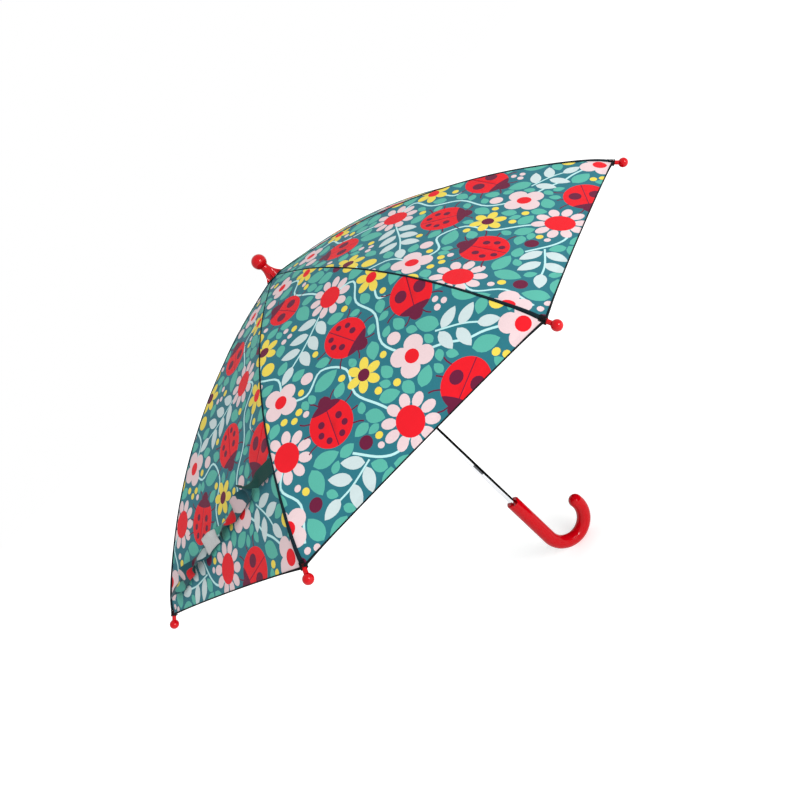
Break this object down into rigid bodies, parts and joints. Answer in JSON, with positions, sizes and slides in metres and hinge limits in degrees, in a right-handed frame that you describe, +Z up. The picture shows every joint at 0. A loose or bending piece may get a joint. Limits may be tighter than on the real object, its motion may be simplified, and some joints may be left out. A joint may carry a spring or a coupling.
{
  "type": "children's umbrella",
  "caption": "Open children's umbrella with a printed fabric canopy on folding ribs, a sliding runner with catches, and a J handle.",
  "frame": {"origin": "inside the handle's straight grip, 30.5 mm below its mouth, on the shaft's axis", "axes": "+Z up the shaft towards the ferrule; the hook lies in an upright plane 10 degrees from +X towards +Y and opens that way"},
  "size_m": [0.6748, 0.6748, 0.5626],
  "materials": {
    "canopy_fabric": "thin woven polyester, printed",
    "patch_tape": "hook and loop tape",
    "red_plastic": "glossy moulded",
    "black_plastic": "satin moulded",
    "chrome_shaft": "plated tube",
    "black_steel": "black coated steel",
    "wire_steel": "bright steel",
    "catch_steel": "dark spring steel"
  },
  "bodies": {
    "root": {"shaft_tube": "chrome_shaft", "handle": "red_plastic", "crown": "black_plastic", "crown_wire": "wire_steel", "crown_pin": "wire_steel", "stop_pin": "wire_steel", "ferrule_washer": "black_plastic", "ferrule": "red_plastic"},
    "runner": {"runner": "black_plastic", "runner_wire": "wire_steel"},
    "top_catch": {"top_catch": "catch_steel"},
    "bottom_catch": {"bottom_catch": "catch_steel"},
    "rib_1": {"rib_1": "black_steel", "rib_tip_1": "red_plastic", "stretcher_rivet_1": "wire_steel"},
    "stretcher_1": {"stretcher_1": "black_steel"},
    "rib_2": {"rib_2": "black_steel", "rib_tip_2": "red_plastic", "stretcher_rivet_2": "wire_steel"},
    "stretcher_2": {"stretcher_2": "black_steel"},
    "rib_3": {"rib_3": "black_steel", "rib_tip_3": "red_plastic", "stretcher_rivet_3": "wire_steel"},
    "stretcher_3": {"stretcher_3": "black_steel"},
    "rib_4": {"rib_4": "black_steel", "rib_tip_4": "red_plastic", "stretcher_rivet_4": "wire_steel"},
    "stretcher_4": {"stretcher_4": "black_steel"},
    "rib_5": {"rib_5": "black_steel", "rib_tip_5": "red_plastic", "stretcher_rivet_5": "wire_steel"},
    "stretcher_5": {"stretcher_5": "black_steel"},
    "rib_6": {"rib_6": "black_steel", "rib_tip_6": "red_plastic", "stretcher_rivet_6": "wire_steel"},
    "stretcher_6": {"stretcher_6": "black_steel"},
    "rib_7": {"rib_7": "black_steel", "rib_tip_7": "red_plastic", "stretcher_rivet_7": "wire_steel"},
    "stretcher_7": {"stretcher_7": "black_steel"},
    "rib_8": {"rib_8": "black_steel", "rib_tip_8": "red_plastic", "stretcher_rivet_8": "wire_steel"},
    "stretcher_8": {"stretcher_8": "black_steel"},
    "gore_1": {"canopy_gore_1": "canopy_fabric"},
    "gore_2": {"canopy_gore_2": "canopy_fabric"},
    "gore_3": {"canopy_gore_3": "canopy_fabric"},
    "gore_4": {"canopy_gore_4": "canopy_fabric"},
    "gore_5": {"canopy_gore_5": "canopy_fabric", "tie_strap": "canopy_fabric", "strap_hook_patch": "patch_tape", "strap_loop_patch": "patch_tape"},
    "gore_6": {"canopy_gore_6": "canopy_fabric"},
    "gore_7": {"canopy_gore_7": "canopy_fabric"},
    "gore_8": {"canopy_gore_8": "canopy_fabric"}
  },
  "joints": [
    {"name": "canopy_fold", "type": "hinge", "parent": "root", "child": "rib_1", "pos_m": [0.00739, 0.00306, 0.442], "axis": [-0.3827, 0.9239, 0], "range_deg": [0, 64.3]},
    {"name": "stretcher_1_pivot", "type": "hinge", "parent": "rib_1", "child": "stretcher_1", "pos_m": [0.15251, 0.06317, 0.39844], "axis": [-0.3827, 0.9239, 0], "range_deg": [-128.6, 0]},
    {"name": "rib_2_hinge", "type": "hinge", "parent": "root", "child": "rib_2", "pos_m": [0.00306, 0.00739, 0.442], "axis": [-0.9239, 0.3827, 0], "range_deg": [0, 64.3]},
    {"name": "stretcher_2_pivot", "type": "hinge", "parent": "rib_2", "child": "stretcher_2", "pos_m": [0.06317, 0.15251, 0.39844], "axis": [-0.9239, 0.3827, 0], "range_deg": [-128.6, 0]},
    {"name": "rib_3_hinge", "type": "hinge", "parent": "root", "child": "rib_3", "pos_m": [-0.00306, 0.00739, 0.442], "axis": [-0.9239, -0.3827, 0], "range_deg": [0, 64.3]},
    {"name": "stretcher_3_pivot", "type": "hinge", "parent": "rib_3", "child": "stretcher_3", "pos_m": [-0.06317, 0.15251, 0.39844], "axis": [-0.9239, -0.3827, 0], "range_deg": [-128.6, 0]},
    {"name": "rib_4_hinge", "type": "hinge", "parent": "root", "child": "rib_4", "pos_m": [-0.00739, 0.00306, 0.442], "axis": [-0.3827, -0.9239, 0], "range_deg": [0, 64.3]},
    {"name": "stretcher_4_pivot", "type": "hinge", "parent": "rib_4", "child": "stretcher_4", "pos_m": [-0.15251, 0.06317, 0.39844], "axis": [-0.3827, -0.9239, 0], "range_deg": [-128.6, 0]},
    {"name": "rib_5_hinge", "type": "hinge", "parent": "root", "child": "rib_5", "pos_m": [-0.00739, -0.00306, 0.442], "axis": [0.3827, -0.9239, 0], "range_deg": [0, 64.3]},
    {"name": "stretcher_5_pivot", "type": "hinge", "parent": "rib_5", "child": "stretcher_5", "pos_m": [-0.15251, -0.06317, 0.39844], "axis": [0.3827, -0.9239, 0], "range_deg": [-128.6, 0]},
    {"name": "rib_6_hinge", "type": "hinge", "parent": "root", "child": "rib_6", "pos_m": [-0.00306, -0.00739, 0.442], "axis": [0.9239, -0.3827, 0], "range_deg": [0, 64.3]},
    {"name": "stretcher_6_pivot", "type": "hinge", "parent": "rib_6", "child": "stretcher_6", "pos_m": [-0.06317, -0.15251, 0.39844], "axis": [0.9239, -0.3827, 0], "range_deg": [-128.6, 0]},
    {"name": "rib_7_hinge", "type": "hinge", "parent": "root", "child": "rib_7", "pos_m": [0.00306, -0.00739, 0.442], "axis": [0.9239, 0.3827, 0], "range_deg": [0, 64.3]},
    {"name": "stretcher_7_pivot", "type": "hinge", "parent": "rib_7", "child": "stretcher_7", "pos_m": [0.06317, -0.15251, 0.39844], "axis": [0.9239, 0.3827, 0], "range_deg": [-128.6, 0]},
    {"name": "rib_8_hinge", "type": "hinge", "parent": "root", "child": "rib_8", "pos_m": [0.00739, -0.00306, 0.442], "axis": [0.3827, 0.9239, 0], "range_deg": [0, 64.3]},
    {"name": "stretcher_8_pivot", "type": "hinge", "parent": "rib_8", "child": "stretcher_8", "pos_m": [0.15251, -0.06317, 0.39844], "axis": [0.3827, 0.9239, 0], "range_deg": [-128.6, 0]},
    {"name": "runner_pivot", "type": "hinge", "parent": "stretcher_1", "child": "runner", "pos_m": [0.00739, 0.00306, 0.35488], "axis": [-0.3827, 0.9239, 0], "range_deg": [0, 64.3]},
    {"name": "gore_1_fold", "type": "hinge", "parent": "root", "child": "gore_1", "pos_m": [0.00523, 0.00523, 0.442], "axis": [-0.7071, 0.7071, 0], "range_deg": [0, 63.01], "deforming": ["canopy_gore_1"]},
    {"name": "gore_2_fold", "type": "hinge", "parent": "root", "child": "gore_2", "pos_m": [0, 0.00739, 0.442], "axis": [-1, 0, 0], "range_deg": [0, 63.01], "deforming": ["canopy_gore_2"]},
    {"name": "gore_3_fold", "type": "hinge", "parent": "root", "child": "gore_3", "pos_m": [-0.00523, 0.00523, 0.442], "axis": [-0.7071, -0.7071, 0], "range_deg": [0, 63.01], "deforming": ["canopy_gore_3"]},
    {"name": "gore_4_fold", "type": "hinge", "parent": "root", "child": "gore_4", "pos_m": [-0.00739, 0, 0.442], "axis": [0, -1, 0], "range_deg": [0, 63.01], "deforming": ["canopy_gore_4"]},
    {"name": "gore_5_fold", "type": "hinge", "parent": "root", "child": "gore_5", "pos_m": [-0.00523, -0.00523, 0.442], "axis": [0.7071, -0.7071, 0], "range_deg": [0, 63.01], "deforming": ["canopy_gore_5", "tie_strap", "strap_hook_patch", "strap_loop_patch"]},
    {"name": "gore_6_fold", "type": "hinge", "parent": "root", "child": "gore_6", "pos_m": [0, -0.00739, 0.442], "axis": [1, 0, 0], "range_deg": [0, 63.01], "deforming": ["canopy_gore_6"]},
    {"name": "gore_7_fold", "type": "hinge", "parent": "root", "child": "gore_7", "pos_m": [0.00523, -0.00523, 0.442], "axis": [0.7071, 0.7071, 0], "range_deg": [0, 63.01], "deforming": ["canopy_gore_7"]},
    {"name": "gore_8_fold", "type": "hinge", "parent": "root", "child": "gore_8", "pos_m": [0.00739, 0, 0.442], "axis": [0, 1, 0], "range_deg": [0, 63.01], "deforming": ["canopy_gore_8"]},
    {"name": "top_catch_press", "type": "hinge", "parent": "root", "child": "top_catch", "pos_m": [0, 0, 0.29648], "axis": [-1, 0, 0], "range_deg": [0, 6], "stiffness_Nm_per_rad": 0.5, "springref_deg": -5.73},
    {"name": "bottom_catch_press", "type": "hinge", "parent": "root", "child": "bottom_catch", "pos_m": [0, 0, 0.114], "axis": [1, 0, 0], "range_deg": [0, 6], "stiffness_Nm_per_rad": 0.5, "springref_deg": -5.73}
  ],
  "couplings": [
    {"joint": "stretcher_1_pivot", "follows": "canopy_fold", "ratio": -2},
    {"joint": "stretcher_2_pivot", "follows": "canopy_fold", "ratio": -2},
    {"joint": "rib_2_hinge", "follows": "canopy_fold", "ratio": 1},
    {"joint": "stretcher_3_pivot", "follows": "canopy_fold", "ratio": -2},
    {"joint": "rib_3_hinge", "follows": "canopy_fold", "ratio": 1},
    {"joint": "stretcher_4_pivot", "follows": "canopy_fold", "ratio": -2},
    {"joint": "rib_4_hinge", "follows": "canopy_fold", "ratio": 1},
    {"joint": "stretcher_5_pivot", "follows": "canopy_fold", "ratio": -2},
    {"joint": "rib_5_hinge", "follows": "canopy_fold", "ratio": 1},
    {"joint": "stretcher_6_pivot", "follows": "canopy_fold", "ratio": -2},
    {"joint": "rib_6_hinge", "follows": "canopy_fold", "ratio": 1},
    {"joint": "stretcher_7_pivot", "follows": "canopy_fold", "ratio": -2},
    {"joint": "rib_7_hinge", "follows": "canopy_fold", "ratio": 1},
    {"joint": "stretcher_8_pivot", "follows": "canopy_fold", "ratio": -2},
    {"joint": "rib_8_hinge", "follows": "canopy_fold", "ratio": 1},
    {"joint": "runner_pivot", "follows": "canopy_fold", "ratio": 1},
    {"joint": "gore_1_fold", "follows": "canopy_fold", "ratio": 0.98},
    {"joint": "gore_2_fold", "follows": "canopy_fold", "ratio": 0.98},
    {"joint": "gore_3_fold", "follows": "canopy_fold", "ratio": 0.98},
    {"joint": "gore_4_fold", "follows": "canopy_fold", "ratio": 0.98},
    {"joint": "gore_5_fold", "follows": "canopy_fold", "ratio": 0.98},
    {"joint": "gore_6_fold", "follows": "canopy_fold", "ratio": 0.98},
    {"joint": "gore_7_fold", "follows": "canopy_fold", "ratio": 0.98},
    {"joint": "gore_8_fold", "follows": "canopy_fold", "ratio": 0.98}
  ]
}
